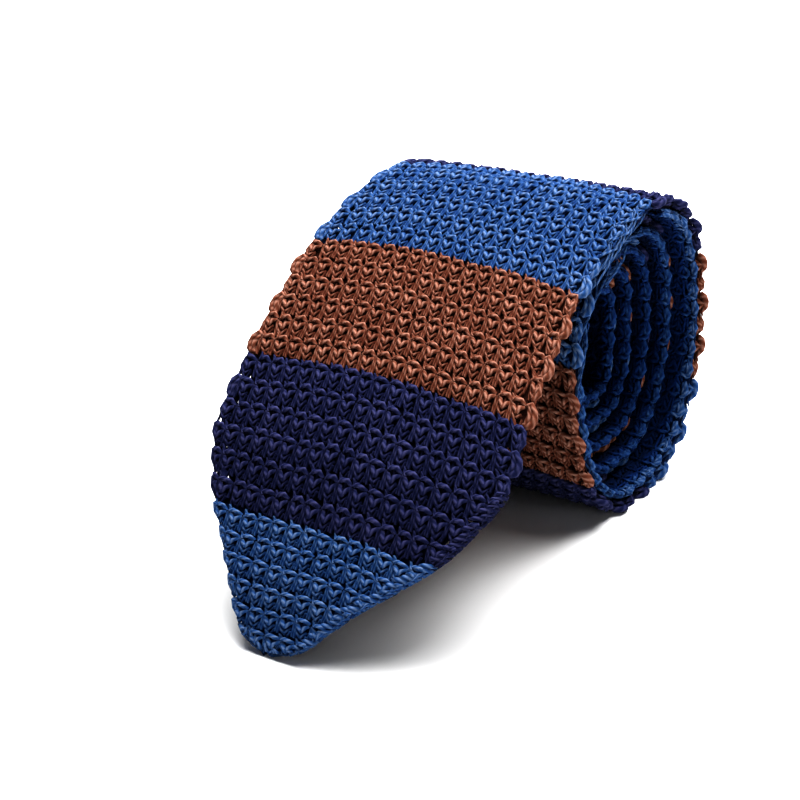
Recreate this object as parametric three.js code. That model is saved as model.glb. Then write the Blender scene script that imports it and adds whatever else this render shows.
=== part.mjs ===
// A knitted necktie, folded in half at the neck and rolled up from the fold.
// The striped wide half is the outer layer of the roll, and the plain blue
// narrow half lies inside it. The last stretch of the wide half comes off the
// top of the roll and slopes down to its point, which touches the ground.
//
// Frame in millimetres: +X across the tie, towards the roll's open end in the
// picture, +Y towards the back of the roll, +Z up from the ground.

import * as THREE from 'three';

// Cloth
const clothThickness = 1.8;
const layerGap = 0.3;
const wrapSlack = 0.2;
const stripeGap = 0.3;
const selvedgeRound = 0.7;

// Widths of the tie
const bladeWidth = 65;
const neckWidth = 38;
const tailWidth = 48;

// Lengths along the tie
const pointLength = 42;
const tipStripeLength = 24.5;
const stripesToFold = 24.57;

// The roll, measured over its outside
const rollHeight = 65.4;
const rollDepth = 62.4;
const wraps = 4.75;
const tailWraps = 0.03;
const rollBulge = 2.2;
const bulgeTurn = 0.04;
const bulgeFade = 4;

// The free end of the blade
const bladeReach = 94.5;
const bladeSway = 3;
const rightCurl = 3;
const leftCurl = 1;
const rollSway = 1.6;

// Fineness of the faceted surfaces and of the line that they follow
const stationsPerWrap = 36;
const freeStations = 28;
const freeColumns = 8;
const wrapColumns = 4;
const leastFacet = 0.8;
const pointsPerWrap = 360;
const freePoints = 240;
const pointsEachWay = 6;

const wrapPitch = 2 * (clothThickness + layerGap) + wrapSlack;

// Outline of the roll: the turn counts from the crest towards the back, and
// fullness is the share of the ellipse of rollHeight by rollDepth.
const rollOutline = [
  { turn: 0.0, fullness: 1.0 },
  { turn: 0.1, fullness: 1.0 },
  { turn: 0.2, fullness: 0.94 },
  { turn: 0.3, fullness: 1.01 },
  { turn: 0.4, fullness: 1.1 },
  { turn: 0.5, fullness: 1.09 },
  { turn: 0.6, fullness: 1.03 },
  { turn: 0.7, fullness: 0.97 },
  { turn: 0.8, fullness: 1.04 },
  { turn: 0.9, fullness: 1.01 },
];

// Slope of the free end: reach is the share of bladeReach in front of the
// roll's centre, and height the share of rollHeight.
const bladeSlope = [
  { reach: 1.0, height: 0.012 },
  { reach: 0.945, height: 0.155 },
  { reach: 0.848, height: 0.327 },
  { reach: 0.745, height: 0.502 },
  { reach: 0.619, height: 0.643 },
  { reach: 0.47, height: 0.762 },
  { reach: 0.315, height: 0.862 },
  { reach: 0.15, height: 0.956 },
];

// Turns of the roll that lead the free end smoothly onto the crest
const crestTurns = [0, 0.04, 0.08];

// Outline of the point: along is the share of pointLength from the tip, and
// width the share of bladeWidth.
const pointOutline = [
  { along: 0.0, width: 0.1 },
  { along: 0.04, width: 0.17 },
  { along: 0.2, width: 0.355 },
  { along: 0.4, width: 0.575 },
  { along: 0.6, width: 0.785 },
  { along: 0.78, width: 0.905 },
  { along: 0.92, width: 0.975 },
  { along: 1.0, width: 1.0 },
];

// Drape of the free end: along is the share of its length from the tip to the
// crest, sway the share of bladeSway, and curl the share of each edge's curl.
const bladeDrape = [
  { along: 0.0, sway: 0.1, curl: 0.0 },
  { along: 0.2, sway: 0.85, curl: 0.9 },
  { along: 0.37, sway: 0.95, curl: 1.0 },
  { along: 0.5, sway: 0.4, curl: 0.6 },
  { along: 0.75, sway: -0.8, curl: 0.3 },
  { along: 1.0, sway: -0.3, curl: 0.0 },
];

// Smooth curve through four values, from the second to the third
function smoothBetween(a, b, c, d, t) {
  const bend = t * (2 * a - 5 * b + 4 * c - d + t * (3 * b - a - 3 * c + d));
  return b + 0.5 * t * (c - a + bend);
}

// Smooth reading of a table, held at its ends
function readTable(rows, key, at, column) {
  const last = rows.length - 1;
  if (at <= rows[0][key]) return rows[0][column];
  if (at >= rows[last][key]) return rows[last][column];
  const next = rows.findIndex((row) => row[key] > at);
  const share = (at - rows[next - 1][key]) / (rows[next][key] - rows[next - 1][key]);
  const values = [next - 2, next - 1, next, next + 1].map(
    (row) => rows[THREE.MathUtils.clamp(row, 0, last)][column],
  );
  return smoothBetween(...values, share);
}

// Fullness of the roll at a turn, through its closed outline table
function fullnessAt(turn) {
  const count = rollOutline.length;
  const place = (turn - Math.floor(turn)) * count;
  const start = Math.floor(place);
  const values = [-1, 0, 1, 2].map(
    (step) => rollOutline[(start + step + count) % count].fullness,
  );
  return smoothBetween(...values, place - start);
}

// Outer face of the striped layer after some turns of the roll. Each wrap is
// flat where it lies on the wrap below it, and the first on the ground.
function rollPoint(turn) {
  const fullness = fullnessAt(turn);
  const angle = 2 * Math.PI * turn;
  const inward = wrapPitch * turn;
  const across = (rollDepth / 2) * fullness - inward;
  const upright = (rollHeight / 2) * fullness - inward;
  const y = across * Math.sin(angle);
  const z = rollHeight / 2 + upright * Math.cos(angle);
  const ground = wrapPitch * Math.floor(turn);
  return new THREE.Vector3(0, y, Math.max(z, ground));
}

// The whole line of the striped layer's outer face, from the tip to the fold,
// as close points with their distance from the tip and their turn of the roll
function traceBlade() {
  const slope = bladeSlope.map(
    (row) => new THREE.Vector3(0, -row.reach * bladeReach, row.height * rollHeight),
  );
  const lead = crestTurns.map(rollPoint);
  const curve = new THREE.CatmullRomCurve3([...slope, ...lead]);
  const crest = slope.length / (slope.length + lead.length - 1);
  const points = [];
  for (let i = 0; i < freePoints; i += 1) {
    const share = i / freePoints;
    points.push({ place: curve.getPoint(crest * share), turn: share - 1 });
  }
  const rollPoints = Math.round(wraps * pointsPerWrap);
  for (let i = 0; i <= rollPoints; i += 1) {
    const turn = (wraps * i) / rollPoints;
    points.push({ place: rollPoint(turn), turn });
  }
  let along = 0;
  points.forEach((point, i) => {
    if (i > 0) along += point.place.distanceTo(points[i - 1].place);
    point.along = along;
  });
  return points;
}

const bladeLine = traceBlade();
const halfLength = bladeLine[bladeLine.length - 1].along;
const freeLength = bladeLine.find((point) => point.turn >= 0).along;
const stripeLength = (halfLength - tipStripeLength) / stripesToFold;

// Place, inward direction and turn of the line at a distance from the tip
function lineAt(along) {
  const last = bladeLine.length - 1;
  const found = bladeLine.findIndex((point) => point.along >= along);
  const next = THREE.MathUtils.clamp(found < 0 ? last : found, 1, last);
  const low = bladeLine[next - 1];
  const high = bladeLine[next];
  const share = THREE.MathUtils.clamp((along - low.along) / (high.along - low.along), 0, 1);
  const before = bladeLine[Math.max(next - 1 - pointsEachWay, 0)].place;
  const after = bladeLine[Math.min(next + pointsEachWay, last)].place;
  const forward = after.clone().sub(before).normalize();
  return {
    place: low.place.clone().lerp(high.place, share),
    inward: new THREE.Vector3(0, forward.z, -forward.y),
    turn: THREE.MathUtils.lerp(low.turn, high.turn, share),
  };
}

// Distance from the tip at which the roll has made a turn
function alongAtTurn(turn) {
  const next = bladeLine.findIndex((point) => point.turn >= turn);
  const high = bladeLine[next < 0 ? bladeLine.length - 1 : Math.max(next, 1)];
  const low = bladeLine[Math.max(bladeLine.indexOf(high) - 1, 0)];
  const share = (turn - low.turn) / (high.turn - low.turn);
  return THREE.MathUtils.lerp(low.along, high.along, THREE.MathUtils.clamp(share, 0, 1));
}

function bladeWidthAt(along) {
  if (along < pointLength) {
    return bladeWidth * readTable(pointOutline, 'along', along / pointLength, 'width');
  }
  const share = (along - pointLength) / (halfLength - pointLength);
  return THREE.MathUtils.lerp(bladeWidth, neckWidth, share);
}

function swayAt(along, turn) {
  if (along < freeLength) {
    return bladeSway * readTable(bladeDrape, 'along', along / freeLength, 'sway');
  }
  const atCrest = bladeSway * bladeDrape[bladeDrape.length - 1].sway;
  return atCrest + rollSway * Math.sin(Math.PI * Math.min(turn, 1));
}

function curlAt(along) {
  return readTable(bladeDrape, 'along', along / freeLength, 'curl');
}

// How far the roll's back shoulder stands out, most at the roll's right end.
// It dies away along the free end.
function bulgeAt(x, turn) {
  const toLeft = (1 - x / (bladeWidth / 2)) / 2;
  const shoulder = Math.max(0, Math.cos(2 * Math.PI * (Math.max(turn, 0) - bulgeTurn)));
  const fade = turn < 0 ? (1 + turn) ** bulgeFade : 1;
  return rollBulge * shoulder * fade * (1 - toLeft ** 2);
}

// One cross section of the cloth: a flat ring with rounded selvedges, whose
// edges curl inwards. Depth is measured inwards from the striped outer face.
// Where the cloth meets the ground it is pressed flat.
function sectionRing({ along, columns, width, centre, depth, thickness }) {
  const { place, inward, turn } = lineAt(along);
  const curl = curlAt(along);
  const half = width / 2;
  const flat = Math.max(half - selvedgeRound, half / 2);
  const at = (x, deep) => {
    const edge = x > 0 ? rightCurl : leftCurl;
    const drop = edge * curl * (x / (bladeWidth / 2)) ** 2;
    const bulge = bulgeAt(centre + x, turn);
    const point = place.clone().addScaledVector(inward, deep + drop - bulge);
    point.x = centre + x;
    point.z = Math.max(point.z, 0);
    return point;
  };
  const row = [];
  for (let i = 0; i <= columns; i += 1) row.push(-flat + (2 * flat * i) / columns);
  const outer = row.map((x) => at(x, depth));
  const inner = row.map((x) => at(x, depth + thickness)).reverse();
  const middle = depth + thickness / 2;
  return [...outer, at(half, middle), ...inner, at(-half, middle)];
}

// A closed solid lofted through rings that all have the same columns
function loftRings(rings, columns) {
  const size = rings[0].length;
  const positions = rings.flat().flatMap((point) => [point.x, point.y, point.z]);
  const faces = [];
  for (let i = 0; i + 1 < rings.length; i += 1) {
    for (let j = 0; j < size; j += 1) {
      const a = i * size + j;
      const b = i * size + ((j + 1) % size);
      faces.push(a, b, b + size, a, b + size, a + size);
    }
  }
  const endFaces = (ring, flip) => {
    const base = ring * size;
    const add = (a, b, c) => faces.push(base + a, base + (flip ? c : b), base + (flip ? b : c));
    const innerOf = (column) => size - 2 - column;
    for (let j = 0; j < columns; j += 1) {
      add(j, innerOf(j), innerOf(j + 1));
      add(j, innerOf(j + 1), j + 1);
    }
    add(columns, innerOf(columns), columns + 1);
    add(0, size - 1, innerOf(0));
  };
  endFaces(0, false);
  endFaces(rings.length - 1, true);
  const geometry = new THREE.BufferGeometry();
  geometry.setAttribute('position', new THREE.Float32BufferAttribute(positions, 3));
  geometry.setIndex(faces);
  geometry.computeVertexNormals();
  return geometry;
}

// Distances of the cross sections between two ends, at the shared stations of
// the wraps, so that the facets of neighbouring layers face each other
function stationsBetween(start, end) {
  const shared = [];
  for (let i = 0; i < freeStations; i += 1) shared.push((freeLength * i) / freeStations);
  const total = Math.floor(wraps * stationsPerWrap);
  for (let i = 0; i <= total; i += 1) shared.push(alongAtTurn(i / stationsPerWrap));
  const first = start + leastFacet;
  const last = end - leastFacet;
  const inside = shared.filter((along) => along > first && along < last);
  return [start, ...inside, end];
}

function clothMaterial(colour) {
  return new THREE.MeshStandardMaterial({ color: colour, roughness: 0.9, metalness: 0 });
}

const colours = { blue: 0x2f5f9e, navy: 0x2a2860, brown: 0x8a4f38 };
const stripeOrder = ['navy', 'brown', 'blue'];

const tie = new THREE.Group();

function addCloth(name, geometry, colour) {
  const mesh = new THREE.Mesh(geometry, clothMaterial(colours[colour]));
  mesh.name = name;
  tie.add(mesh);
}

// Striped half: a blue tip, then equal bands of navy, brown and blue. The fold
// cuts the last band short.
function buildStripe(start, end) {
  const columns = start < freeLength ? freeColumns : wrapColumns;
  const rings = stationsBetween(start, end).map((along) => {
    const width = bladeWidthAt(along);
    const centre = swayAt(along, lineAt(along).turn);
    return sectionRing({ along, columns, width, centre, depth: 0, thickness: clothThickness });
  });
  return loftRings(rings, columns);
}

addCloth('blade_tip_blue', buildStripe(0, tipStripeLength - stripeGap / 2), 'blue');

for (let i = 0; i < stripesToFold; i += 1) {
  const colour = stripeOrder[i % stripeOrder.length];
  const start = tipStripeLength + i * stripeLength + stripeGap / 2;
  const end = Math.min(start + stripeLength - stripeGap, halfLength);
  const number = String(i + 1).padStart(2, '0');
  addCloth(`stripe_${number}_${colour}`, buildStripe(start, end), colour);
}

// Plain half: the inner layer of the roll, from its end under the crest to the
// fold. Its right edge lies level with the striped half's right edge.
const tailDepth = clothThickness + layerGap;
const tailStart = alongAtTurn(tailWraps);

function tailSection(along) {
  const share = (along - tailStart) / (halfLength - tailStart);
  const width = THREE.MathUtils.lerp(tailWidth, neckWidth, share);
  const rightEdge = swayAt(along, lineAt(along).turn) + bladeWidthAt(along) / 2;
  return { width, centre: rightEdge - width / 2 };
}

function buildTail(start, end) {
  const rings = stationsBetween(start, end).map((along) => sectionRing({
    along,
    columns: wrapColumns,
    ...tailSection(along),
    depth: tailDepth,
    thickness: clothThickness,
  }));
  return loftRings(rings, wrapColumns);
}

addCloth('tail_blue', buildTail(tailStart, halfLength), 'blue');

// Stand the tie on the ground with its origin under the middle of its box
const box = new THREE.Box3().setFromObject(tie);
const middle = box.getCenter(new THREE.Vector3());
tie.position.set(-middle.x, -middle.y, -box.min.z);

export default tie;
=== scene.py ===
"""A knitted necktie, rolled up, with the yarn and stitches of its cloth."""

import math

import bpy
import numpy as np
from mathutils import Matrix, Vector


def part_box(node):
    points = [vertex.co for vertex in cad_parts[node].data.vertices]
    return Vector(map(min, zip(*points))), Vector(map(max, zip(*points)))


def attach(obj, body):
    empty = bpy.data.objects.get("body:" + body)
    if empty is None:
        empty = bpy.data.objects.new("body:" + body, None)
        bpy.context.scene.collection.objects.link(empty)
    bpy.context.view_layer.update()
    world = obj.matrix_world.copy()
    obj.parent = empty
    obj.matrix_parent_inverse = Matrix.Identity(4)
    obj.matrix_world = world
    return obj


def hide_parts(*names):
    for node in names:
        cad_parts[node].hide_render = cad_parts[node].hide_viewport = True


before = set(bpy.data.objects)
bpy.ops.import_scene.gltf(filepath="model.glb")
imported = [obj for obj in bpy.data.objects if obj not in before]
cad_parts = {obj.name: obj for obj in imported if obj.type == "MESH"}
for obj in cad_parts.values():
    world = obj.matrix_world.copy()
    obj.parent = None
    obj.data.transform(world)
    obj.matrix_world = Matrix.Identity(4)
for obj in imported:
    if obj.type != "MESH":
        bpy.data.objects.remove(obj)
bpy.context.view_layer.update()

MM = 0.001

# Cloth and widths, in millimetres, as the solids have them
CLOTH_THICKNESS = 1.8
LAYER_GAP = 0.3
WRAP_SLACK = 0.2
BLADE_WIDTH = 65
NECK_WIDTH = 38
TAIL_WIDTH = 48
POINT_LENGTH = 42
TIP_STRIPE_LENGTH = 24.5
STRIPES_TO_FOLD = 24.57

# The roll and the free end, as the solids have them
ROLL_HEIGHT = 65.4
ROLL_DEPTH = 62.4
WRAPS = 4.75
TAIL_WRAPS = 0.03
ROLL_BULGE = 2.2
BULGE_TURN = 0.04
BULGE_FADE = 4
BLADE_REACH = 94.5
BLADE_SWAY = 3
RIGHT_CURL = 3
LEFT_CURL = 1
ROLL_SWAY = 1.6
WRAP_PITCH = 2 * (CLOTH_THICKNESS + LAYER_GAP) + WRAP_SLACK
POINTS_PER_WRAP = 360
FREE_POINTS = 240
POINTS_EACH_WAY = 6
WIDTH_READINGS = 60

# The stitches, and how unevenly they are made: the spread of each one's place
# across, along and up, of its tilt in radians and of its share of the width
STITCH_WIDTH = 3.42
ROWS_PER_STRIPE = 6
TIP_ROWS = 6
STRAND_WOBBLE = 0.045
STITCH_NUDGE = (0.09, 0.09, 0.06)
STITCH_TILT = 0.03
STITCH_STRETCH = 0.035
STITCH_INSET = 0.5
CLOTH_WOBBLE = 0.3

# How far along its yarn each strand of a stitch starts, so that no two look alike
YARN_APART = 7

# Slow waves in which the stitches wander: strength, radians for each
# millimetre across the cloth and along it, and where the wave starts
COLUMN_WAVES = [
    (1.0, 0.13, 1 / 9.1, 0),
    (0.6, -1 / 7.7, 1 / 4.3, 2),
]
ROW_WAVES = [
    (1.0, 1 / 6.3, 1 / 23, 0),
    (0.5, 1 / 2.9, -1 / 8.1, 1),
]

# The edges: knobs of yarn, long loose loops near the crest of the roll, by
# distance from the tip or by turns, and the border of the point
EDGE_COLUMNS = 2
# EDGE_RISE and LOOSE_RISE are the least heights that count for the painted shade of these
# strands
EDGE_RISE = 1.35
EDGE_NUDGE = (0.12, 0.12, 0.08)
POINT_EDGE_REACH = 0.45
LOOSE_RISE = 1.55
LOOSE_SLACK = 4
LOOSE_FROM = 96
LOOSE_TO = 120
TAIL_LOOSE_TURNS = (0.76, 1.0)
BORDER_PITCH = 1.5
BORDER_SLIP = 0.22
BORDER_STRETCH = 0.14
BORDER_REACH = 0.6
BORDER_STEPS = 400
BLUNT_END = 2.5

# The thin ground cloth under the stitches. Each of its edges has two strips,
# the inner one for the eyelets. Strands move aside for them by EYELET_ROOM, and
# EYELET_CENTRE is the nearest that one counts as to an eyelet's middle. Where
# the cloth is narrow, the strips take these shares of half its width at most.
GROUND_DEPTH = 1.15
GROUND_WALL = 0.2
GROUND_INSET = 0.7
LEAST_GROUND = 1
GROUND_COLUMNS = 16
EDGE_STRIPS = 2
GROUND_STEP = 0.9
EYELET_INSET = 2.0
EYELET_WIDTH = 0.8
EYELET_INSET_MOST = 1 / 4
EYELET_WIDTH_MOST = 1 / 8
EYELET_ROOM = 0.75
EYELET_CENTRE = 0.05

# The wraps of the roll, in turns. The striped half's face shows in its first
# turn and the plain half's in its last. Where the next wrap covers the striped
# half, its stitches are pressed flat, and its right edge is set back by
# INNER_RECESS, in millimetres.
SEEN_TURNS = 1
TAIL_SEEN_TURNS = 1.1
COVERED_FROM = 0.85
PRESSED_OVER = 0.15
PRESSED_RELIEF = 0.12
RECESS_OVER = 0.2
INNER_RECESS = 2.2

# Painted shade on the plain half inside the roll: darker with each turn inwards,
# and darker with the distance from its edge, in millimetres
INNER_SHADE = 0.45
INNER_SHADE_FROM = 0.2
INNER_SHADE_OVER = 1.5
DEEP_SHADE = 0.85
DEEP_FROM = 1.1
DEEP_TO = 4.2

# Fullness of the roll at each tenth of a turn
ROLL_OUTLINE = [1.0, 1.0, 0.94, 1.01, 1.1, 1.09, 1.03, 0.97, 1.04, 1.01]

# The free end's outer face, from the tip up to the roll: reach in front of the
# roll's centre and height, as shares of BLADE_REACH and ROLL_HEIGHT
BLADE_SLOPE = [
    (1.0, 0.012),
    (0.945, 0.155),
    (0.848, 0.327),
    (0.745, 0.502),
    (0.619, 0.643),
    (0.47, 0.762),
    (0.315, 0.862),
    (0.15, 0.956),
]
CREST_TURNS = [0, 0.04, 0.08]

# Share of the point's length, share of the blade's width. The very end is a
# little rounder than the solid's.
POINT_OUTLINE = [
    (0.0, 0.04),
    (0.015, 0.125),
    (0.05, 0.205),
    (0.1, 0.275),
    (0.2, 0.37),
    (0.4, 0.575),
    (0.6, 0.785),
    (0.78, 0.905),
    (0.92, 0.975),
    (1.0, 1.0),
]

# Distance from the tip, how far the rows are pushed on at the edges and in the
# middle, in millimetres: the rows arch over the crest of the roll
ROW_ARCH = [
    (0.0, 0.0, 0.0),
    (25.0, 0.3, 0.4),
    (56.0, 0.4, 2.4),
    (87.0, 1.8, 4.6),
    (118.0, 1.6, 8.0),
    (190.0, 1.0, 5.0),
    (310.0, 0.0, 2.0),
    (420.0, 0.0, 0.0),
]

# Share of the free end's length, sway, curl of the edges, as shares of
# BLADE_SWAY and of the curl at each edge
BLADE_DRAPE = [
    (0.0, 0.1, 0.0),
    (0.2, 0.85, 0.9),
    (0.37, 0.95, 1.0),
    (0.5, 0.4, 0.6),
    (0.75, -0.8, 0.3),
    (1.0, -0.3, 0.0),
]


def smooth_between(a, b, c, d, t):
    """A smooth curve through evenly spaced values, read between b and c."""
    bend = t * (2 * a - 5 * b + 4 * c - d + t * (3 * b - a - 3 * c + d))
    return b + 0.5 * t * (c - a + bend)


def read_table(rows, column, at):
    """A smooth reading of one column of a table, held at its ends."""
    table = np.array(rows, float)
    keys = table[:, 0]
    values = table[:, column]
    last = len(keys) - 1
    at = np.clip(np.asarray(at, float), keys[0], keys[last])
    high = np.clip(np.searchsorted(keys, at, side="right"), 1, last)
    share = (at - keys[high - 1]) / (keys[high] - keys[high - 1])
    near = [values[np.clip(high + step, 0, last)] for step in (-2, -1, 0, 1)]
    return smooth_between(*near, share)


def roll_point(turn):
    """Place of the striped layer's outer face after some turns of the roll."""
    turn = np.asarray(turn, float)
    outline = np.array(ROLL_OUTLINE)
    count = len(outline)
    place = (turn - np.floor(turn)) * count
    start = np.floor(place).astype(int)
    near = [outline[(start + step) % count] for step in (-1, 0, 1, 2)]
    fullness = smooth_between(*near, place - start)
    inward = WRAP_PITCH * turn
    y = (ROLL_DEPTH / 2 * fullness - inward) * np.sin(2 * math.pi * turn)
    upright = ROLL_HEIGHT / 2 * fullness - inward
    z = ROLL_HEIGHT / 2 + upright * np.cos(2 * math.pi * turn)
    ground = WRAP_PITCH * np.floor(turn)
    return np.stack([y, np.maximum(z, ground)], -1)


def smooth_line(points, shares):
    """A centripetal curve through points, read at shares of its length."""
    points = np.array(points, float)
    last = len(points) - 1
    ends = [2 * points[0] - points[1], *points, 2 * points[-1] - points[-2]]
    ends = np.array(ends)
    place = last * np.asarray(shares, float)
    start = np.minimum(np.floor(place).astype(int), last - 1)
    t = (place - start)[:, None]
    a, b, c, d = (ends[start + step] for step in range(4))
    first, middle, third = (
        np.sqrt(np.linalg.norm(q - p, axis=1))[:, None] for p, q in ((a, b), (b, c), (c, d))
    )
    out = (b - a) / first - (c - a) / (first + middle) + (c - b) / middle
    into = (c - b) / middle - (d - b) / (middle + third) + (d - c) / third
    out, into = out * middle, into * middle
    square = -3 * b + 3 * c - 2 * out - into
    cube = 2 * b - 2 * c + out + into
    return b + out * t + square * t**2 + cube * t**3


def trace_blade():
    """The line of the striped layer's outer face from the tip to the fold: its
    points, and at each the distance from the tip and the turns of the roll."""
    slope = [(-reach * BLADE_REACH, height * ROLL_HEIGHT) for reach, height in BLADE_SLOPE]
    lead = [tuple(roll_point(turn)) for turn in CREST_TURNS]
    crest = len(slope) / (len(slope) + len(lead) - 1)
    free_shares = np.arange(FREE_POINTS) / FREE_POINTS
    free = smooth_line(slope + lead, crest * free_shares)
    roll_points = round(WRAPS * POINTS_PER_WRAP)
    turns = WRAPS * np.arange(roll_points + 1) / roll_points
    places = np.vstack([free, roll_point(turns)])
    steps = np.linalg.norm(np.diff(places, axis=0), axis=1)
    along = np.concatenate([[0], np.cumsum(steps)])
    return places, along, np.concatenate([free_shares - 1, turns])


def line_directions(places):
    """Direction of the line at each of its points, towards the fold, read over
    a few points each way."""
    index = np.arange(len(places))
    after = places[np.minimum(index + POINTS_EACH_WAY, len(places) - 1)]
    before = places[np.maximum(index - POINTS_EACH_WAY, 0)]
    return (after - before) / np.linalg.norm(after - before, axis=1)[:, None]


LINE, LINE_ALONG, LINE_TURN = trace_blade()
LINE_FORWARD = line_directions(LINE)
HALF_LENGTH = LINE_ALONG[-1]
FREE_LENGTH = LINE_ALONG[FREE_POINTS]
STRIPE_LENGTH = (HALF_LENGTH - TIP_STRIPE_LENGTH) / STRIPES_TO_FOLD
TAIL_START = np.interp(TAIL_WRAPS, LINE_TURN, LINE_ALONG)
ROW_HEIGHT = STRIPE_LENGTH / ROWS_PER_STRIPE


def turn_at(along):
    """Turns of the roll at a distance from the tip, below 0 on the free end."""
    return np.interp(along, LINE_ALONG, LINE_TURN)


def read_path(at, along, path):
    """Places, or directions, of a path at some distances along it."""
    return np.stack([np.interp(at, along, path[:, k]) for k in (0, 1)], -1)


def blade_width_at(along):
    point = BLADE_WIDTH * read_table(POINT_OUTLINE, 1, along / POINT_LENGTH)
    share = (along - POINT_LENGTH) / (HALF_LENGTH - POINT_LENGTH)
    plain = BLADE_WIDTH + (NECK_WIDTH - BLADE_WIDTH) * share
    return np.where(along < POINT_LENGTH, point, plain)


def sway_at(along):
    """How far the middle of the striped half lies to the right."""
    free = BLADE_SWAY * read_table(BLADE_DRAPE, 1, along / FREE_LENGTH)
    rolled = BLADE_SWAY * BLADE_DRAPE[-1][1]
    rolled = rolled + ROLL_SWAY * np.sin(math.pi * np.clip(turn_at(along), 0, 1))
    return np.where(along < FREE_LENGTH, free, rolled)


def arch_rows(x, along):
    """Distance from the tip of a point of the rows, once they arch."""
    out = np.clip(np.abs(x) / (BLADE_WIDTH / 2), 0, 1) ** 2
    edge = read_table(ROW_ARCH, 1, along)
    middle = read_table(ROW_ARCH, 2, along)
    return along + middle + (edge - middle) * out


def striped_section(along):
    """Width of the striped half and the place of its middle. Inside the roll
    its right edge sits a little deeper than the plain half's."""
    recess = INNER_RECESS * np.clip((turn_at(along) - COVERED_FROM) / RECESS_OVER, 0, 1)
    return blade_width_at(along) - recess, sway_at(along) - recess / 2


def plain_section(along):
    """Width of the plain half and the place of its middle. Its right edge lies
    level with the blade's."""
    share = (along - TAIL_START) / (HALF_LENGTH - TAIL_START)
    width = TAIL_WIDTH + (NECK_WIDTH - TAIL_WIDTH) * share
    right_edge = sway_at(along) + blade_width_at(along) / 2
    return width, right_edge - width / 2


def bulge_at(turn, across):
    """How far the roll's right shoulder swells."""
    to_left = (1 - across / (BLADE_WIDTH / 2)) / 2
    shoulder = np.maximum(0, np.cos(2 * math.pi * (np.maximum(turn, 0) - BULGE_TURN)))
    fade = np.where(turn < 0, np.clip(1 + turn, 0, 1) ** BULGE_FADE, 1)
    return ROLL_BULGE * shoulder * fade * (1 - to_left**2)


def lay_about_roll(x, centre, along, depth):
    """Points of the cloth about the roll's own centre, in metres. x is across
    from the middle of the cloth, and depth inwards from the striped layer's
    face."""
    at = np.clip(along, 0, HALF_LENGTH)
    forward = read_path(at, LINE_ALONG, LINE_FORWARD)
    forward /= np.linalg.norm(forward, axis=1)[:, None]
    place = read_path(at, LINE_ALONG, LINE) + forward * (along - at)[:, None]
    edge = np.where(x > 0, RIGHT_CURL, LEFT_CURL)
    curl = read_table(BLADE_DRAPE, 2, at / FREE_LENGTH)
    drop = edge * curl * (x / (BLADE_WIDTH / 2)) ** 2
    reach = depth + drop - bulge_at(turn_at(at), centre + x)
    y = place[:, 0] + forward[:, 1] * reach
    z = place[:, 1] - forward[:, 0] * reach
    return np.stack([centre + x, y, np.maximum(z, 0)], -1) * MM


def find_frame_shift():
    """From the roll's own centre to the frame of the solids, by the right and
    front sides of the tip's box."""
    tip_low, tip_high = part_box("blade_tip_blue")
    edge = np.linspace(0, TIP_STRIPE_LENGTH, WIDTH_READINGS)
    half = blade_width_at(edge) / 2
    points = lay_about_roll(half, sway_at(edge), edge, np.zeros(WIDTH_READINGS))
    return np.array([tip_high.x - points[:, 0].max(), tip_low.y - points[:, 1].min(), 0.0])


FRAME_SHIFT = find_frame_shift()


def lay_on_line(x, centre, along, depth):
    """Points of the cloth in the frame of the solids, in metres."""
    return lay_about_roll(x, centre, along, depth) + FRAME_SHIFT


# Strands of one stitch, as seen on the face. x is the share of the stitch's
# width from its middle, y the share of the row's height from its foot, and z
# the height in millimetres over the ground cloth. thickness is the radius.
STITCH = {
    "core": {
        "sides": 4,
        "points": [
            # x, y, z, thickness
            (0.03, 0.82, 0.45, 0.62),
            (0.02, 0.08, 0.35, 0.66),
        ],
    },
    "cap": {
        "sides": 5,
        "points": [
            (-0.43, 0.77, 0.85, 0.40),
            (-0.16, 0.87, 1.38, 0.50),
            (0.15, 0.86, 1.44, 0.50),
            (0.43, 0.75, 0.80, 0.40),
        ],
    },
    "brow": {
        "sides": 4,
        "points": [
            (-0.57, 1.03, 0.95, 0.34),
            (-0.30, 0.74, 1.20, 0.36),
        ],
    },
    "left arm": {
        "sides": 5,
        "points": [
            (-0.31, 0.66, 0.95, 0.42),
            (-0.13, 0.53, 1.42, 0.50),
            (0.05, 0.31, 1.05, 0.40),
        ],
    },
    "right arm": {
        "sides": 5,
        "points": [
            (0.39, 0.67, 0.90, 0.40),
            (0.23, 0.53, 1.42, 0.50),
            (0.04, 0.29, 1.18, 0.40),
        ],
    },
    "left heel": {
        "sides": 4,
        "points": [
            (-0.24, 0.42, 0.75, 0.34),
            (-0.10, 0.22, 1.10, 0.40),
            (0.14, -0.02, 0.70, 0.34),
        ],
    },
    "right heel": {
        "sides": 4,
        "points": [
            (0.33, 0.36, 0.80, 0.38),
            (0.06, 0.08, 1.10, 0.36),
        ],
    },
    "foot": {
        "sides": 4,
        "points": [
            (0.26, -0.08, 0.65, 0.32),
            (0.44, 0.22, 0.95, 0.36),
        ],
    },
    "outer strand": {
        "sides": 4,
        "points": [
            (-0.50, 0.02, 0.80, 0.34),
            (-0.49, 0.74, 1.05, 0.34),
        ],
    },
    "inner strand": {
        "sides": 4,
        "points": [
            (-0.31, 0.00, 0.80, 0.34),
            (-0.34, 0.66, 1.10, 0.36),
        ],
    },
}

# The back of a stitch, against the ground cloth
STITCH_BACK = {
    "rib": {
        "sides": 4,
        "points": [
            (-0.10, -0.10, -0.30, 0.40),
            (0.04, 0.50, -0.62, 0.50),
            (-0.10, 1.05, -0.30, 0.40),
        ],
    },
}

# What is made of a stitch where the roll hides it
HIDDEN_PARTS = ("cap", "left arm", "right arm", "inner strand")

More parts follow.
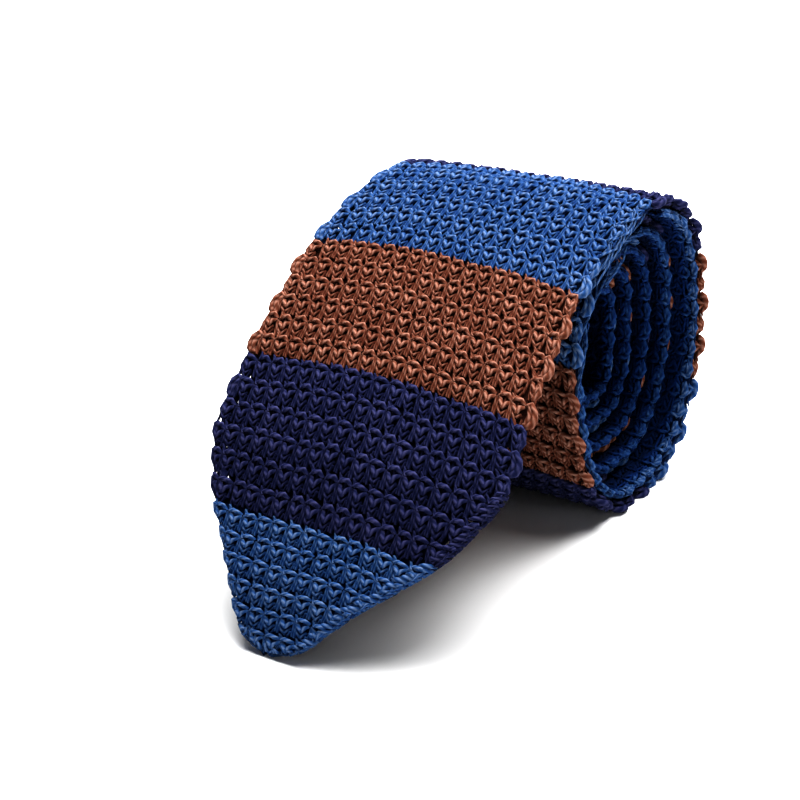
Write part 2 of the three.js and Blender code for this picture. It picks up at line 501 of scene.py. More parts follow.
# The strands that turn round each selvedge. x is in millimetres outwards from
# the edge, y the share of the row's height. On the striped half, past its
# point, every second row ends in a wide loop. All other rows end in a slim one.
WIDE_EDGE = {
    "loop": {
        "sides": 6,
        "points": [
            (-1.9, 0.88, 0.80, 0.46),
            (-0.9, 0.93, 1.20, 0.62),
            (-0.05, 0.76, 0.95, 0.70),
            (0.2, 0.50, 0.65, 0.72),
            (-0.1, 0.24, 0.65, 0.66),
            (-0.9, 0.08, 0.80, 0.54),
            (-1.9, 0.12, 0.60, 0.44),
        ],
    },
    "inside": {
        "sides": 4,
        "points": [
            (-1.35, 0.10, 0.70, 0.50),
            (-0.70, 0.50, 1.10, 0.66),
            (-1.35, 0.86, 0.95, 0.52),
        ],
    },
    "under": {
        "sides": 4,
        "points": [
            (-1.9, 0.80, -0.20, 0.48),
            (-0.3, 0.50, -0.05, 0.62),
            (-1.9, 0.20, -0.20, 0.48),
        ],
    },
}
SLIM_EDGE = {
    "loop": {
        "sides": 5,
        "points": [
            (-1.5, 0.90, 1.00, 0.46),
            (-0.75, 0.78, 0.95, 0.56),
            (-0.5, 0.46, 0.80, 0.60),
            (-1.2, 0.10, 0.60, 0.46),
        ],
    },
    "inside": {
        "sides": 4,
        "points": [
            (-1.5, 0.16, 0.70, 0.46),
            (-0.9, 0.70, 1.20, 0.56),
        ],
    },
    "under": {
        "sides": 4,
        "points": [
            (-1.6, 0.94, -0.10, 0.46),
            (-0.7, 0.50, 0.10, 0.58),
            (-1.6, 0.06, -0.10, 0.46),
        ],
    },
}

# The long loose loops where the cloth is stretched over the roll's crest
LOOSE_EDGE = {
    "first": {
        "sides": 4,
        "points": [
            (-2.2, -0.2, 1.10, 0.34),
            (-0.7, 0.25, 1.00, 0.32),
            (0.1, 0.9, 0.00, 0.28),
            (-0.9, 1.7, -0.60, 0.26),
        ],
    },
    "second": {
        "sides": 4,
        "points": [
            (-2.4, 0.7, 1.20, 0.34),
            (-0.9, 0.9, 1.10, 0.32),
            (-0.1, 0.3, 0.10, 0.28),
            (-0.7, -0.6, -0.80, 0.26),
        ],
    },
    "third": {
        "sides": 4,
        "points": [
            (-1.6, 1.2, 0.90, 0.30),
            (-0.3, 0.9, 0.30, 0.30),
            (0.4, 0.1, -0.90, 0.26),
            (0.0, -0.8, -1.70, 0.24),
        ],
    },
    "fourth": {
        "sides": 4,
        "points": [
            (-1.5, 0.1, 0.60, 0.36),
            (-0.9, 0.6, 0.70, 0.40),
            (-1.6, 1.0, 0.90, 0.36),
        ],
    },
}

# The slanted strands that bind the point's edge. x is in millimetres inwards
# from the edge, y in millimetres along it.
POINT_BORDER = {
    "over": {
        "sides": 5,
        "points": [
            (2.4, -1.3, 0.70, 0.30),
            (1.7, -0.5, 1.35, 0.42),
            (0.75, 0.6, 1.15, 0.44),
            (0.4, 1.4, 0.20, 0.38),
        ],
    },
    "turn": {
        "sides": 4,
        "points": [
            (0.4, -0.5, 0.10, 0.44),
            (0.65, 0.2, -0.45, 0.46),
            (1.8, 0.6, -0.50, 0.40),
        ],
    },
}


class YarnPattern:
    """Corners, faces and yarn lengths of some strands, modelled once. spine is
    the middle of the strand at each corner. rise is each corner's height over
    the ground, which sets how much shade is painted on it, and counts as
    least_rise or more."""

    def __init__(self, strands, width, height, least_rise=-1):
        corners, spine, faces, yarn = [], [], [], []
        for number, (name, strand) in enumerate(strands.items()):
            mesh = model_strand(name, strand, width, height)
            first = sum(len(part) for part in corners)
            corners.append(read_corners(mesh))
            rings = corners[-1].reshape(-1, strand["sides"], 3)
            spine.append(np.repeat(rings.mean(axis=1), strand["sides"], axis=0))
            run = strand_length(strand, width, height)
            layer = mesh.uv_layers[0].data
            for polygon in mesh.polygons:
                faces.append([first + corner for corner in polygon.vertices])
                yarn.append(
                    [
                        (layer[i].uv[0] * run + YARN_APART * number, layer[i].uv[1])
                        for i in polygon.loop_indices
                    ]
                )
            bpy.data.meshes.remove(mesh)
        self.corners = np.vstack(corners)
        self.spine = np.vstack(spine)
        self.rise = np.maximum(self.corners[:, 2], least_rise)
        self.sizes = np.array([len(face) for face in faces])
        self.faces = np.array([corner for face in faces for corner in face])
        self.yarn = np.array([pair for face in yarn for pair in face])


def read_corners(mesh):
    flat = np.zeros(len(mesh.vertices) * 3)
    mesh.vertices.foreach_get("co", flat)
    return flat.reshape(-1, 3)


def strand_points(strand, width, height):
    return [(x * width, y * height, z, r) for x, y, z, r in strand["points"]]


def strand_length(strand, width, height):
    places = np.array(strand_points(strand, width, height))[:, :3]
    return float(np.linalg.norm(np.diff(places, axis=0), axis=1).sum())


def model_strand(name, strand, width, height):
    """A round length of yarn through its points, closed at its ends."""
    bpy.ops.object.select_all(action="DESELECT")
    bpy.ops.mesh.primitive_circle_add(vertices=strand["sides"], radius=1)
    bpy.ops.object.convert(target="CURVE")
    section = bpy.context.object
    bpy.ops.object.select_all(action="DESELECT")
    bpy.ops.curve.primitive_nurbs_path_add(radius=1)
    path = bpy.context.object
    path.name = name
    path.data.splines.clear()
    points = strand_points(strand, width, height)
    spline = path.data.splines.new("POLY")
    spline.points.add(len(points) - 1)
    for point, (x, y, z, thickness) in zip(spline.points, points):
        point.co = (x, y, z, 1)
        point.radius = thickness
    path.data.bevel_mode = "OBJECT"
    path.data.bevel_object = section
    path.data.use_fill_caps = True
    path.select_set(True)
    bpy.context.view_layer.objects.active = path
    bpy.ops.object.convert(target="MESH")
    mesh = bpy.context.object.data
    bpy.data.objects.remove(path)
    bpy.data.objects.remove(section)
    return mesh


def join_pattern(name, pattern, places, dye, shade):
    """One mesh of a pattern set down many times. places holds the corners of
    all copies in the part's frame, and shade how much shade is painted on each
    of them: 0 none, 1 or more fully dark. dye is each copy's uneven dye."""
    copies = len(dye)
    count = len(pattern.corners)
    mesh = bpy.data.meshes.new(name)
    mesh.vertices.add(copies * count)
    mesh.vertices.foreach_set("co", places.reshape(-1))
    offsets = np.repeat(np.arange(copies) * count, len(pattern.faces))
    loops = np.tile(pattern.faces, copies) + offsets
    mesh.loops.add(len(loops))
    mesh.loops.foreach_set("vertex_index", loops.astype(np.int32))
    sizes = np.tile(pattern.sizes, copies)
    starts = np.concatenate([[0], np.cumsum(sizes)[:-1]])
    mesh.polygons.add(len(sizes))
    mesh.polygons.foreach_set("loop_start", starts.astype(np.int32))
    mesh.polygons.foreach_set("use_smooth", np.ones(len(sizes), bool))
    layer = mesh.uv_layers.new(name="Yarn")
    layer.data.foreach_set("uv", np.tile(pattern.yarn, (copies, 1)).reshape(-1))
    tone = mesh.attributes.new("stitch_tone", "FLOAT", "POINT")
    tone.data.foreach_set("value", np.repeat(dye, count))
    # rise, lowered by the painted shade, sets how dark the yarn is painted
    rise = mesh.attributes.new("rise", "FLOAT", "POINT")
    rise.data.foreach_set("value", np.tile(pattern.rise, copies) * (1 - shade))
    mesh.update(calc_edges=True)
    piece = bpy.data.objects.new(name, mesh)
    bpy.context.collection.objects.link(piece)
    return piece


chance = np.random.default_rng(4082)


def loosen(strands):
    """The same strands, each point pulled a little out of place, half as far
    across and along as up."""
    loose = {}
    for name, strand in strands.items():
        points = []
        for x, y, z, thickness in strand["points"]:
            pull = chance.normal(0, STRAND_WOBBLE, 4)
            points.append(
                (x + pull[0] / 2, y + pull[1] / 2, z + pull[2], thickness * (1 + pull[3]))
            )
        loose[name] = {"sides": strand["sides"], "points": points}
    return loose


full_stitch = {**STITCH, **STITCH_BACK}
hidden_stitch = {name: STITCH[name] for name in HIDDEN_PARTS}
PATTERNS = {
    "stitch 1": YarnPattern(loosen(full_stitch), STITCH_WIDTH, ROW_HEIGHT),
    "stitch 2": YarnPattern(loosen(full_stitch), STITCH_WIDTH, ROW_HEIGHT),
    "stitch 3": YarnPattern(loosen(full_stitch), STITCH_WIDTH, ROW_HEIGHT),
    "stitch 4": YarnPattern(loosen(full_stitch), STITCH_WIDTH, ROW_HEIGHT),
    "hidden stitch": YarnPattern(hidden_stitch, STITCH_WIDTH, ROW_HEIGHT),
    "wide edge": YarnPattern(WIDE_EDGE, 1, ROW_HEIGHT, EDGE_RISE),
    "slim edge": YarnPattern(SLIM_EDGE, 1, ROW_HEIGHT, EDGE_RISE),
    "loose edge": YarnPattern(LOOSE_EDGE, 1, ROW_HEIGHT, LOOSE_RISE),
    "border": YarnPattern(POINT_BORDER, 1, 1, EDGE_RISE),
}
STITCH_KINDS = [kind for kind in PATTERNS if kind.startswith("stitch")]


class Stretch:
    """A stretch of one yarn between two distances from the tip, in rows of
    stitches. section gives the cloth's width and the place of its middle, and
    first_row is the number of the first row, counted from the tip. The plain
    half lies face down, with its face to the middle of the roll."""

    def __init__(self, name, start, end, rows, first_row, section, face_down):
        self.name = name
        self.start = start
        self.end = end
        self.rows = rows
        self.row_height = (end - start) / rows
        self.first_row = first_row
        self.section = section
        self.face_down = face_down

    def half_width(self, along):
        return self.section(np.clip(along, 0, HALF_LENGTH))[0] / 2

    def covers_point(self, along):
        return not self.face_down and along < POINT_LENGTH

    def is_seen(self, along):
        if self.face_down:
            return turn_at(along) > WRAPS - TAIL_SEEN_TURNS
        return turn_at(along) < SEEN_TURNS

    def has_loose_loops(self, along):
        if self.face_down:
            return TAIL_LOOSE_TURNS[0] < turn_at(along) < TAIL_LOOSE_TURNS[1]
        return LOOSE_FROM < along < LOOSE_TO

    def relief(self, along):
        """How proud the stitches stand: full where the cloth's face is free,
        and pressed flat between the wraps of the roll."""
        if self.face_down:
            free = (turn_at(along) - (WRAPS - 1)) / PRESSED_OVER
        else:
            free = 1 - (turn_at(along) - COVERED_FROM) / PRESSED_OVER
        return np.clip(free, PRESSED_RELIEF, 1)

    def shade(self, x, along):
        """How much shade is painted on points: 0 none, 1 or more fully dark."""
        if not self.face_down:
            return np.zeros(len(x))
        inner = np.clip((turn_at(along) - INNER_SHADE_FROM) / INNER_SHADE_OVER, 0, 1)
        inside = self.half_width(along) - np.abs(x)
        deep = np.clip((inside - DEEP_FROM) / (DEEP_TO - DEEP_FROM), 0, 1)
        return INNER_SHADE * inner + DEEP_SHADE * deep

    def lay(self, x, centre, along, depth):
        """Points of the cloth, depth inwards from its own face."""
        if self.face_down:
            return lay_on_line(x, centre, along, 2 * CLOTH_THICKNESS + LAYER_GAP - depth)
        return lay_on_line(x, centre, arch_rows(x, along), depth)


def squeeze(x, limit):
    """Keeps strands inside the cloth's outline."""
    return np.sign(x) * np.minimum(np.abs(x), limit)


def part_strands(x, along, half):
    """How far strands move aside for the eyelets beside the cloth's edges."""
    row = np.round((along - TIP_STRIPE_LENGTH) / ROW_HEIGHT)
    aside = x - np.sign(x) * (half - GROUND_INSET - EYELET_INSET - EYELET_WIDTH / 2)
    ahead = along - TIP_STRIPE_LENGTH - row * ROW_HEIGHT
    far = np.maximum(np.hypot(aside, ahead), EYELET_CENTRE)
    push = EYELET_ROOM * np.exp(-((far / EYELET_ROOM) ** 2)) / far
    return aside * push, ahead * push


def add_waves(waves, x, along):
    return sum(
        strength * np.sin(across * x + on * along + start)
        for strength, across, on, start in waves
    )


def drift(x, along):
    """Slow wandering of the stitches from their straight rows and columns."""
    across = CLOTH_WOBBLE / 2 * add_waves(COLUMN_WAVES, x, along)
    forward = CLOTH_WOBBLE * add_waves(ROW_WAVES, x, along)
    return across, forward


def count_columns(width, staggered, pointed):
    """How many stitches a row has, and the step from one to the next."""
    if pointed:
        # columns run straight on to the point, and its border cuts them
        pairs = math.ceil((width / STITCH_WIDTH - staggered) / 2)
        return 2 * pairs + staggered, STITCH_WIDTH
    full = max(2, round(width / STITCH_WIDTH))
    return full - staggered, width / full


def place_stitch(cloth, kind, foot, middle_x, pitch):
    """Corners of one stitch on the flat cloth, with its foot at a distance from
    the tip."""
    corners = PATTERNS[kind].corners
    nudge = chance.normal(0, STITCH_NUDGE)
    tilt = chance.normal(0, STITCH_TILT)
    stretch = pitch / STITCH_WIDTH * chance.normal(1, STITCH_STRETCH)
    rise = corners[:, 1] - ROW_HEIGHT / 2
    x = corners[:, 0] * stretch - rise * tilt + middle_x + nudge[0]
    y = corners[:, 1] + corners[:, 0] * tilt
    y = y * cloth.row_height / ROW_HEIGHT + foot + nudge[1]
    aside, forward = drift(x, y)
    x = x + aside
    # the first row stays on the seam with the stretch before
    y = y + forward * np.clip((y - cloth.start) / cloth.row_height, 0, 1)
    half = cloth.half_width(y)
    if cloth.start > 0:
        spine = PATTERNS[kind].spine
        spine_x = spine[:, 0] * stretch + middle_x
        spine_y = spine[:, 1] * cloth.row_height / ROW_HEIGHT + foot
        aside, forward = part_strands(spine_x, spine_y, half)
        x = x + aside
        y = y + forward
    return np.stack([squeeze(x, half - STITCH_INSET), y, corners[:, 2] + nudge[2]], -1)


def place_edge(cloth, kind, foot, side, pointed):
    """Corners of the strands that turn round one edge of a row. side is -1 for
    the left edge and 1 for the right."""
    corners = PATTERNS[kind].corners
    slack = LOOSE_SLACK if kind == "loose edge" else 1
    nudge = chance.normal(0, EDGE_NUDGE) * slack
    y = corners[:, 1] * cloth.row_height / ROW_HEIGHT + foot + nudge[1]
    reach = POINT_EDGE_REACH if pointed else 0
    x = side * (cloth.half_width(y) + corners[:, 0] + nudge[0] + reach)
    return np.stack([x, y, corners[:, 2] + nudge[2]], -1)


def place_border(start, end):
    """The border's strands along the right edge of a stretch of the point, and
    across the blunt end of the tie."""
    steps = np.linspace(start, end, BORDER_STEPS)
    half = blade_width_at(steps) / 2
    edge = [np.stack([half, steps], -1)]
    if start == 0:
        round_end = steps < BLUNT_END
        edge.insert(0, np.stack([-half[round_end], steps[round_end]], -1)[::-1])
    path = np.vstack(edge)
    run = np.concatenate([[0], np.cumsum(np.linalg.norm(np.diff(path, axis=0), axis=1))])
    corners = PATTERNS["border"].corners
    count = max(1, round(run[-1] / BORDER_PITCH))
    made = []
    for number in range(count):
        middle = run[-1] * (number + 0.5) / count
        at = middle + corners[:, 1] + chance.normal(0, BORDER_SLIP)
        near = np.clip(at, 0, run[-1])
        spot = read_path(near, run, path)
        # the edge's direction, read a little ahead and behind
        ahead = read_path(np.clip(near + BORDER_REACH, 0, run[-1]), run, path)
        behind = read_path(np.clip(near - BORDER_REACH, 0, run[-1]), run, path)
        step = ahead - behind
        step /= np.linalg.norm(step, axis=1)[:, None]
        inward = corners[:, 0] * chance.normal(1, BORDER_STRETCH)
        x = spot[:, 0] - step[:, 1] * inward
        y = spot[:, 1] + step[:, 0] * inward
        made.append((np.stack([x, y, corners[:, 2]], -1), chance.normal()))
    return made


def place_rows(cloth):
    """Every stitch and edge of a stretch, by kind: the corners of each on the
    flat cloth, and its uneven dye."""
    copies = {kind: [] for kind in PATTERNS}
    for row in range(cloth.rows):
        foot = cloth.start + row * cloth.row_height
        middle = foot + cloth.row_height / 2
        pointed = cloth.covers_point(middle)
        staggered = (cloth.first_row + row) % 2 == 1
        width = 2 * float(cloth.half_width(middle))
        count, pitch = count_columns(width, staggered, pointed)
        for column in range(count):
            at_edge = min(column, count - 1 - column) < EDGE_COLUMNS
            kind = "hidden stitch"
            if at_edge or cloth.is_seen(middle):
                kind = STITCH_KINDS[chance.integers(len(STITCH_KINDS))]
            middle_x = (column - (count - 1) / 2) * pitch
            corners = place_stitch(cloth, kind, foot, middle_x, pitch)
            copies[kind].append((corners, chance.normal()))
        wide = staggered and not pointed and not cloth.face_down
        # the point's right edge has the border instead
        for side in (-1,) if pointed else (-1, 1):
            kind = "wide edge" if wide else "slim edge"
            if side == 1 and cloth.has_loose_loops(middle):
                kind = "loose edge"
            corners = place_edge(cloth, kind, foot, side, pointed)
            copies[kind].append((corners, chance.normal()))
    if cloth.covers_point(cloth.start):
        copies["border"] = place_border(cloth.start, min(cloth.end, POINT_LENGTH))
    return copies


def lay_copies(cloth, kind, made):
    """One mesh of all copies of a pattern, bent along with the cloth."""
    flat = np.concatenate([corners for corners, dye in made])
    x, along, height = flat.T
    centre = cloth.section(np.clip(along, cloth.start, cloth.end))[1]
    proud = np.maximum(height - GROUND_DEPTH, 0) * cloth.relief(along)
    depth = GROUND_DEPTH - (np.minimum(height, GROUND_DEPTH) + proud)
    places = cloth.lay(x, centre, along, depth)
    dye = np.array([dye for corners, dye in made])
    return join_pattern(f"knit_{cloth.name}", PATTERNS[kind], places, dye, cloth.shade(x, along))


def knit(cloth):
    """The stitches of a stretch, as one piece with its edges."""
    pieces = [lay_copies(cloth, kind, made) for kind, made in place_rows(cloth).items() if made]
    bpy.ops.object.select_all(action="DESELECT")
    for piece in pieces:
        piece.select_set(True)
    bpy.context.view_layer.objects.active = pieces[0]
    bpy.ops.object.join()
    knitted = bpy.context.object
    knitted.name = f"knit_{cloth.name}"
    return knitted


def has_eyelets(cloth, along):
    """Whether a row of the ground cloth's faces lies between two rows of
    stitches, where the eyelets are. The tip's stretch has none."""
    rows = (along - TIP_STRIPE_LENGTH) / ROW_HEIGHT
    off = abs((rows + 0.5) % 1 - 0.5) * ROW_HEIGHT
    return off < GROUND_STEP / 2 and cloth.start > 0


def ground_cloth(cloth):
    """The thin cloth that the stitches stand on, as a sheet with a wall, with
    small eyelets beside its edges between the rows."""
    steps = max(2, round((cloth.end - cloth.start) / GROUND_STEP))
    rows = np.linspace(cloth.start, cloth.end, steps + 1)
    width, centre = cloth.section(rows)
    half = np.maximum(width / 2 - GROUND_INSET, LEAST_GROUND)
    outer = half - np.minimum(EYELET_INSET, half * EYELET_INSET_MOST)
    inner = outer - np.minimum(EYELET_WIDTH, half * EYELET_WIDTH_MOST)
    middle_columns = GROUND_COLUMNS - 2 * EDGE_STRIPS
    middle = inner[:, None] * np.linspace(-1, 1, middle_columns + 1)
    across = np.column_stack([-half, -outer, middle, outer, half]).reshape(-1)
    along = np.repeat(rows, GROUND_COLUMNS + 1)
    centre = np.repeat(centre, GROUND_COLUMNS + 1)
    places = cloth.lay(across, centre, along, np.full(len(along), GROUND_DEPTH))
    eyelets = (EDGE_STRIPS - 1, GROUND_COLUMNS - EDGE_STRIPS)
    faces = []
    for row in range(steps):
        row_middle = cloth.start + (row + 0.5) * (cloth.end - cloth.start) / steps
        open_row = has_eyelets(cloth, row_middle)
        for column in range(GROUND_COLUMNS):
            if open_row and column in eyelets:
                continue
            a = row * (GROUND_COLUMNS + 1) + column
            b = a + GROUND_COLUMNS + 1
            faces.append((a, a + 1, b + 1, b))
    name = f"ground_{cloth.name}"
    mesh = bpy.data.meshes.new(name)
    mesh.from_pydata(places.tolist(), [], faces)
    layer = mesh.uv_layers.new(name="Yarn")
    spots = np.stack([across, along], -1)
    layer.data.foreach_set("uv", spots[np.array(faces).reshape(-1)].reshape(-1))
    piece = bpy.data.objects.new(name, mesh)
    bpy.context.collection.objects.link(piece)
    bpy.ops.object.select_all(action="DESELECT")
    piece.select_set(True)
    bpy.context.view_layer.objects.active = piece
    bpy.ops.object.modifier_add(type="SOLIDIFY")
    piece.modifiers[0].thickness = GROUND_WALL * MM
    piece.modifiers[0].offset = 0
    bpy.ops.object.modifier_apply(modifier=piece.modifiers[0].name)
    return piece


# Yarn: its twist in millimetres of strand, and its fibres, which are longer
# along the strand than across it
TWIST_LENGTH = 1.7
PLIES = 2
FIBRE_STRETCH = (1.2, 6.0, 1.0)
FIBRE_SCALE = 6.0
GROUND_FIBRE_SCALE = 3.0

# Patches of uneven dye to a metre
PATCH_SCALE = 90.0

# How much each of these lightens the yarn's colour. The twist's share is
# painted shade between the plies and painted highlight on them; the others are
# uneven tone and the pattern of the ground's loops
TWIST_LIGHT = 0.6
FIBRE_LIGHT = 0.55
PATCH_LIGHT = 0.15
DYE_LIGHT = 0.05
GROUND_RIB_LIGHT = 0.25
GROUND_FIBRE_LIGHT = 0.6

# Painted shade by height over the ground, in millimetres: between DARK_RISE and
# FULL_RISE the yarn goes from its darkest share to its full colours, and below
# GAP_RISE it lies in a gap and is painted darker still. A shade is the share of
# the yarn's own colours that is left in painted shade.
DARK_RISE = 0.35
FULL_RISE = 1.7
DARK_SHARE = 0.05
GAP_RISE = 0.5
GAP_SHADE = 0.25
GROUND_DARK_SHADE = 0.35
GROUND_LIGHT_SHADE = 0.4

# Relief of the yarn's surface
TWIST_HEIGHT = 0.7
FIBRE_HEIGHT = 0.5
YARN_BUMP = {"Strength": 0.9, "Distance": 0.0002}
GROUND_BUMP = {"Strength": 0.8, "Distance": 0.0003}

YARN = {
    # deep (painted shade), middle, raised (painted highlight), sheen; uneven tone also moves
    # between them
    "blue": (
        (0.0012, 0.021, 0.125, 1),
        (0.030, 0.092, 0.240, 1),
        (0.145, 0.220, 0.385, 1),
        (0.4, 0.65, 1, 1),
    ),
    "navy": (
        (0.0010, 0.0026, 0.022, 1),
        (0.015, 0.019, 0.070, 1),
        (0.056, 0.058, 0.145, 1),
        (0.5, 0.5, 1, 1),
    ),
    "brown": (
        (0.055, 0.005, 0.0008, 1),
        (0.170, 0.059, 0.034, 1),
        (0.385, 0.200, 0.148, 1),
        (1, 0.7, 0.5, 1),
    ),
}

# Sockets that are picked by their place: a Mix node's for colours, and outputs
# of the Texture Coordinate and Attribute nodes
MIX_SHARE = 0
MIX_LOW = 6
MIX_HIGH = 7
MIX_COLOUR = 2
OBJECT_PLACE = 3
ATTRIBUTE_VALUE = 2


class Value:
    """A shader socket that can be added, multiplied and so on."""

    def __init__(self, material, socket):
        self.material = material
        self.socket = socket

    def math(self, kind, *others):
        inputs = {0: self, **{i + 1: other for i, other in enumerate(others)}}
        return self.material.node("ShaderNodeMath", {"operation": kind}, inputs)[0]

    def __add__(self, other):
        return self.math("ADD", other)

    def __mul__(self, other):
        return self.math("MULTIPLY", other)

    def __sub__(self, other):
        return self.math("SUBTRACT", other)

    def __rsub__(self, other):
        return (self * -1) + other

    __radd__ = __add__
    __rmul__ = __mul__

    def within(self, low, high):
        return self.math("MAXIMUM", low).math("MINIMUM", high)


class Finish:
    """A material made of nodes."""

    def __init__(self, name):
        self.data = bpy.data.materials.new(name)
        self.data.use_nodes = True
        self.tree = self.data.node_tree
        self.surface = self.tree.nodes["Principled BSDF"]

    def node(self, kind, settings, inputs):
        """Adds a node and gives its outputs."""
        made = self.tree.nodes.new(kind)
        for key, value in settings.items():
            setattr(made, key, value)
        for key, value in inputs.items():
            self.feed(made.inputs[key], value)
        return [Value(self, socket) for socket in made.outputs]

    def feed(self, socket, value):
        if isinstance(value, Value):
            self.tree.links.new(value.socket, socket)
        else:
            socket.default_value = value

    def set(self, **inputs):
        """Sets the surface's own sockets, with _ for the spaces in their names."""
        for key, value in inputs.items():
            self.feed(self.surface.inputs[key.replace("_", " ")], value)

    def yarn_place(self):
        """Where a point lies on the yarn or the flat cloth, as one value and as
        its two parts."""
        spot = self.node("ShaderNodeUVMap", {"uv_map": "Yarn"}, {})[0]
        parts = self.node("ShaderNodeSeparateXYZ", {}, {0: spot})
        return spot, parts[0], parts[1]

    def noise(self, place, scale):
        return self.node("ShaderNodeTexNoise", {}, {"Vector": place, "Scale": scale})[0]

    def attribute(self, name):
        return self.node("ShaderNodeAttribute", {"attribute_name": name}, {})[ATTRIBUTE_VALUE]

    def mix(self, share, low, high):
        """A colour between two, by a share from 0 to 1."""
        inputs = {MIX_SHARE: share, MIX_LOW: low, MIX_HIGH: high}
        return self.node("ShaderNodeMix", {"data_type": "RGBA"}, inputs)[MIX_COLOUR]

    def bump(self, height, strength):
        return self.node("ShaderNodeBump", {}, {**strength, "Height": height})[0]


def darker(colour, share):
    return tuple(part * share for part in colour[:3]) + (1,)


def yarn_finish(name, dark, middle, light, sheen):
    """Plied yarn: twist along the strand, fine fibres, uneven dye, with painted shade low over
    the ground and in the gaps, and painted shade and highlight on the twisted plies.
    """
    finish = Finish(name)
    spot, along, around = finish.yarn_place()
    twist = (along * (1 / TWIST_LENGTH) + around * PLIES) * (2 * math.pi)
    ply = twist.math("SINE") * 0.5 + 0.5
    stretched = finish.node(
        "ShaderNodeMapping", {}, {"Vector": spot, "Scale": FIBRE_STRETCH}
    )[0]
    fibres = finish.noise(stretched, FIBRE_SCALE)
    place = finish.node("ShaderNodeTexCoord", {}, {})[OBJECT_PLACE]
    patches = finish.noise(place, PATCH_SCALE)
    dye = finish.attribute("stitch_tone")
    rise = finish.attribute("rise")
    # painted shade: the lower the yarn lies over the ground, the darker it is painted
    deep = finish.node(
        "ShaderNodeMapRange",
        {"interpolation_type": "SMOOTHSTEP"},
        {
            "Value": rise,
            "From Min": DARK_RISE,
            "From Max": FULL_RISE,
            "To Min": DARK_SHARE,
            "To Max": 1.0,
        },
    )[0]
    # the twist lightens the plies and darkens the grooves between them: painted highlight and
    # painted shade
    lightness = ply * TWIST_LIGHT + fibres * FIBRE_LIGHT
    lightness = lightness + patches * PATCH_LIGHT + dye * DYE_LIGHT
    share = (deep * lightness).within(0.0, 1.0)
    low = (share * 2).math("MINIMUM", 1.0)
    high = (share * 2 - 1).math("MAXIMUM", 0.0)
    # from the painted shade colour through the middle one to the painted highlight colour
    colour = finish.mix(high, finish.mix(low, dark, middle), light)
    # painted shade: the gaps between the stitches and the inside of the roll are darker still
    lit = finish.node(
        "ShaderNodeMapRange", {}, {"Value": rise, "From Min": 0.0, "From Max": GAP_RISE}
    )[0]
    colour = finish.mix(lit, darker(dark, GAP_SHADE), colour)
    relief = finish.bump(ply * TWIST_HEIGHT + fibres * FIBRE_HEIGHT, YARN_BUMP)
    finish.set(Base_Color=colour, Normal=relief, Roughness=0.82, Specular_IOR_Level=0.05)
    finish.set(Sheen_Weight=0.02, Sheen_Roughness=0.4, Sheen_Tint=sheen)
    return finish.data


def ground_finish(name, dark, light):
    """Yarn deep between the stitches, in the yarn's colours darkened as painted shade, with the
    backs of the loops.
    """
    finish = Finish(name)
    spot, across, along = finish.yarn_place()
    rib = (across * (2 * math.pi / STITCH_WIDTH)).math("SINE")
    row = (along * (2 * math.pi / ROW_HEIGHT)).math("SINE")
    fibres = finish.noise(spot, GROUND_FIBRE_SCALE)
    share = rib * row * GROUND_RIB_LIGHT + fibres * GROUND_FIBRE_LIGHT
    colour = finish.mix(share.within(0.0, 1.0), dark, light)
    relief = finish.bump(rib * row + fibres, GROUND_BUMP)
    finish.set(Base_Color=colour, Normal=relief, Roughness=0.95, Specular_IOR_Level=0.1)
    return finish.data


yarn_finishes = {}
ground_finishes = {}
for colour, (dark, middle, light, sheen) in YARN.items():
    yarn_finishes[colour] = yarn_finish(f"yarn_{colour}", dark, middle, light, sheen)
    # the ground cloth's colours are the yarn's, darkened as painted shade
    deepest = darker(dark, GROUND_DARK_SHADE)
    ground_finishes[colour] = ground_finish(
        f"ground_{colour}", deepest, darker(middle, GROUND_LIGHT_SHADE)
    )


def sheet_size(cloth):
    """Flat width and length of a stretch, and its area, in metres."""
    width = cloth.section(np.linspace(cloth.start, cloth.end, WIDTH_READINGS))[0]
    length = cloth.end - cloth.start
    area = float(np.mean(width)) * length * MM * MM
    return (float(width.max()) * MM, length * MM), area


def make_stretch(cloth, node, colour):
    """Knits a stretch of cloth in its yarn, and hides the solid that it stands for."""
    knitted = knit(cloth)
    ground = ground_cloth(cloth)
    knitted.data.materials.append(yarn_finishes[colour])
    ground.data.materials.append(ground_finishes[colour])
    for piece in (knitted, ground):
        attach(piece, "root")
        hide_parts(node)
    flat, area = sheet_size(cloth)


def make_striped_half():
    """A blue point, then bands of navy, brown and blue up to the fold."""
    stretches = [("blade_tip_blue", 0.0, TIP_STRIPE_LENGTH, TIP_ROWS)]
    bands = sorted(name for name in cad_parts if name.startswith("stripe_"))
    for number, node in enumerate(bands):
        start = TIP_STRIPE_LENGTH + number * STRIPE_LENGTH
        end = min(start + STRIPE_LENGTH, HALF_LENGTH)
        stretches.append((node, start, end, round((end - start) / ROW_HEIGHT)))
    # counted from 1, so that the wide edge loops fall as in the photograph
    row_count = 1
    for node, start, end, rows in stretches:
        cloth = Stretch(node, start, end, rows, row_count, striped_section, False)
        held = "draped" if start < FREE_LENGTH else "folded"
        make_stretch(cloth, node, node.rsplit("_", 1)[1])
        row_count += rows


def make_plain_half():
    """The plain half, in two stretches of cloth, faces the middle of the roll."""
    middle = (TAIL_START + HALF_LENGTH) / 2
    stretches = [("tail_outer", TAIL_START, middle), ("tail_inner", middle, HALF_LENGTH)]
    for name, start, end in stretches:
        rows = round((end - start) / ROW_HEIGHT)
        cloth = Stretch(name, start, end, rows, 0, plain_section, True)
        make_stretch(cloth, "tail_blue", "blue")


make_striped_half()
make_plain_half()

# The floor, the camera and the lights, in metres, degrees and watts. The lens
# and its sensor are in millimetres.
FLOOR_SIZE = 6
FLOOR_WHITE = (0.93, 0.93, 0.93, 1)

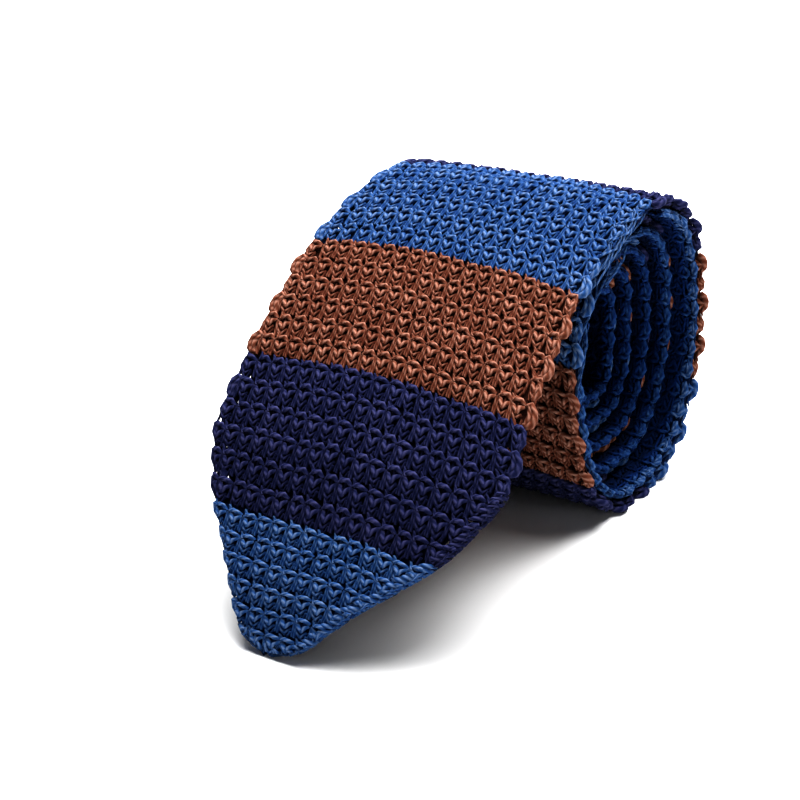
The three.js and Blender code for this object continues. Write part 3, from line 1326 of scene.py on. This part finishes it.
# The photograph's view, from the front right and above
CAMERA_AZIMUTH = 32.6
CAMERA_HEIGHT = 24.3
CAMERA_DISTANCE = 0.42
CAMERA_AIM = FRAME_SHIFT + np.array([-17.9, -20.0, 20.0]) * MM
CAMERA_LENS = 87.3
CAMERA_SENSOR = 36
CAMERA_NEAR = 0.01

WORLD_LIGHT = 0.03
LIGHT_AIM = (0, 0, 0.03)
LIGHTS = [
    # name, place, width, power
    ("overhead", (-0.04, 0.38, 1.05), 1.15, 56),
    ("front right", (0.4, -1.0, 0.8), 1.0, 1.8),
    ("right", (1.0, 0.1, 0.16), 0.3, 1.7),
]

# The photograph's own contrast
VIEW_GAMMA = 0.78


def lay_floor():
    bpy.ops.object.select_all(action="DESELECT")
    bpy.ops.mesh.primitive_plane_add(size=FLOOR_SIZE, location=(0, 0, 0))
    floor = bpy.context.object
    floor.name = "floor"
    finish = Finish("floor_white")
    finish.set(Base_Color=FLOOR_WHITE, Roughness=0.35, Specular_IOR_Level=0.3)
    floor.data.materials.append(finish.data)


def point_along(thing, direction):
    """Turns a camera or a light to look in a direction."""
    thing.rotation_mode = "QUATERNION"
    thing.rotation_quaternion = direction.to_track_quat("-Z", "Y")


def set_camera():
    azimuth = math.radians(CAMERA_AZIMUTH)
    upward = math.radians(CAMERA_HEIGHT)
    level = math.cos(upward)
    back = Vector((math.sin(azimuth) * level, -math.cos(azimuth) * level, math.sin(upward)))
    lens = bpy.data.cameras.new("camera")
    lens.sensor_width = CAMERA_SENSOR
    lens.lens = CAMERA_LENS
    lens.clip_start = CAMERA_NEAR
    camera = bpy.data.objects.new("camera", lens)
    bpy.context.collection.objects.link(camera)
    camera.location = Vector(CAMERA_AIM) + back * CAMERA_DISTANCE
    point_along(camera, -back)
    bpy.context.scene.camera = camera


def set_lights():
    """Soft studio light."""
    world = bpy.data.worlds.new("studio")
    world.use_nodes = True
    sky = world.node_tree.nodes["Background"].inputs
    sky["Color"].default_value = (1, 1, 1, 1)
    sky["Strength"].default_value = WORLD_LIGHT
    bpy.context.scene.world = world
    for name, place, width, power in LIGHTS:
        light = bpy.data.lights.new(name, "AREA")
        light.size = width
        light.energy = power
        lamp = bpy.data.objects.new(name, light)
        bpy.context.collection.objects.link(lamp)
        lamp.location = place
        point_along(lamp, Vector(LIGHT_AIM) - Vector(place))


lay_floor()
set_camera()
set_lights()
bpy.context.scene.view_settings.view_transform = "Standard"
bpy.context.scene.view_settings.gamma = VIEW_GAMMA
